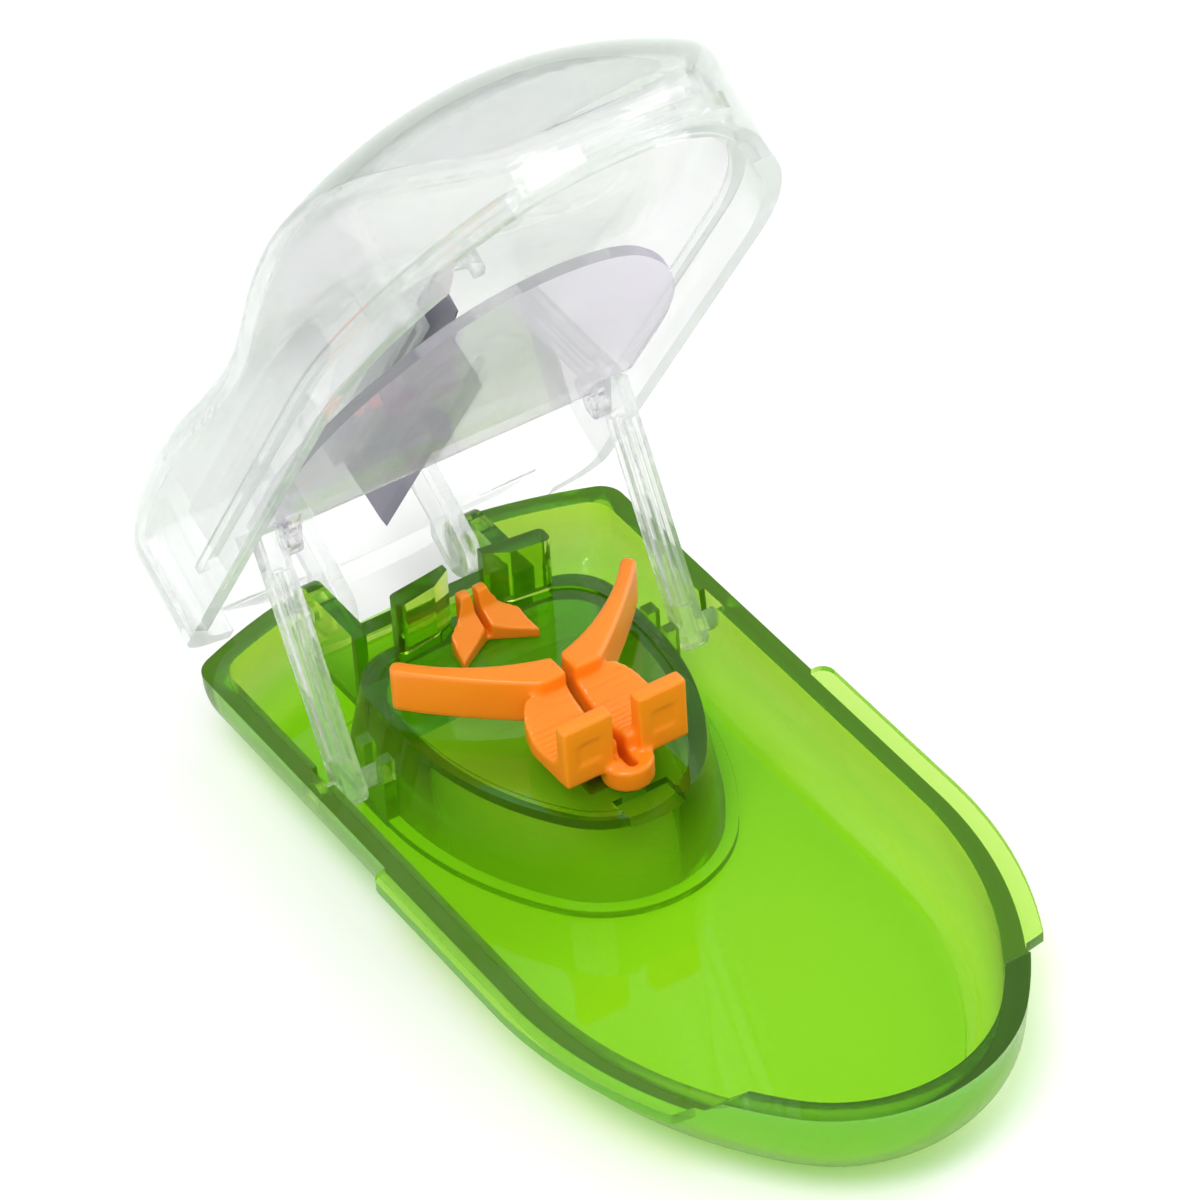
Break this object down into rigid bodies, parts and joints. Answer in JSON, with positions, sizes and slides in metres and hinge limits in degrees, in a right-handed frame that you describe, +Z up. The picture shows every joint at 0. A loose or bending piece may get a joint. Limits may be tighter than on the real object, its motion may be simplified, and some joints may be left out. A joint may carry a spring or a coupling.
{
  "type": "pill splitter",
  "caption": "Hand-held pill splitter: open tray with a pill tower and soft grips, hinged clear lid with a blade, and a guard plate pushed off the blade by side arms.",
  "frame": {"origin": "on the table plane under the tray, at the middle of the open splitter's length, in its plane of symmetry", "axes": "+X across the tray, +Y towards the hinge, +Z up"},
  "size_m": [0.0574, 0.119, 0.1025],
  "materials": {
    "green_clear_plastic": "translucent green, glossy",
    "clear_plastic": "clear, glossy",
    "guard_plastic": "clear with a faint violet edge",
    "orange_soft_plastic": "opaque orange, satin",
    "blade_steel": "polished blade steel with a ground bevel"
  },
  "bodies": {
    "base": {"base_tray": "green_clear_plastic", "rear_cradle": "orange_soft_plastic"},
    "grip": {"pill_grip": "orange_soft_plastic"},
    "lid": {"lid_shell": "clear_plastic", "blade_holder": "clear_plastic", "cutting_blade": "blade_steel"},
    "arms": {"guard_arm_left": "clear_plastic", "guard_arm_right": "clear_plastic"},
    "guard": {"blade_guard": "guard_plastic"}
  },
  "joints": [
    {"name": "lid_hinge", "type": "hinge", "parent": "base", "child": "lid", "pos_m": [0, 0.0448, 0.0094], "axis": [-1, 0, 0], "range_deg": [-57, 0]},
    {"name": "arm_pivot", "type": "hinge", "parent": "base", "child": "arms", "pos_m": [0, 0.0198, 0.0078], "axis": [-1, 0, 0], "range_deg": [-109.5, 0]},
    {"name": "guard_pivot", "type": "hinge", "parent": "arms", "child": "guard", "pos_m": [0, 0.03224, 0.03232], "axis": [-1, 0, 0], "range_deg": [0, 52.5]},
    {"name": "grip_slide", "type": "slide", "parent": "base", "child": "grip", "axis": [0, 1, 0], "range_m": [-0.002, 0.002]}
  ],
  "couplings": [
    {"joint": "arm_pivot", "follows": "lid_hinge", "ratio": 1.9206},
    {"joint": "guard_pivot", "follows": "lid_hinge", "ratio": -0.9206}
  ]
}
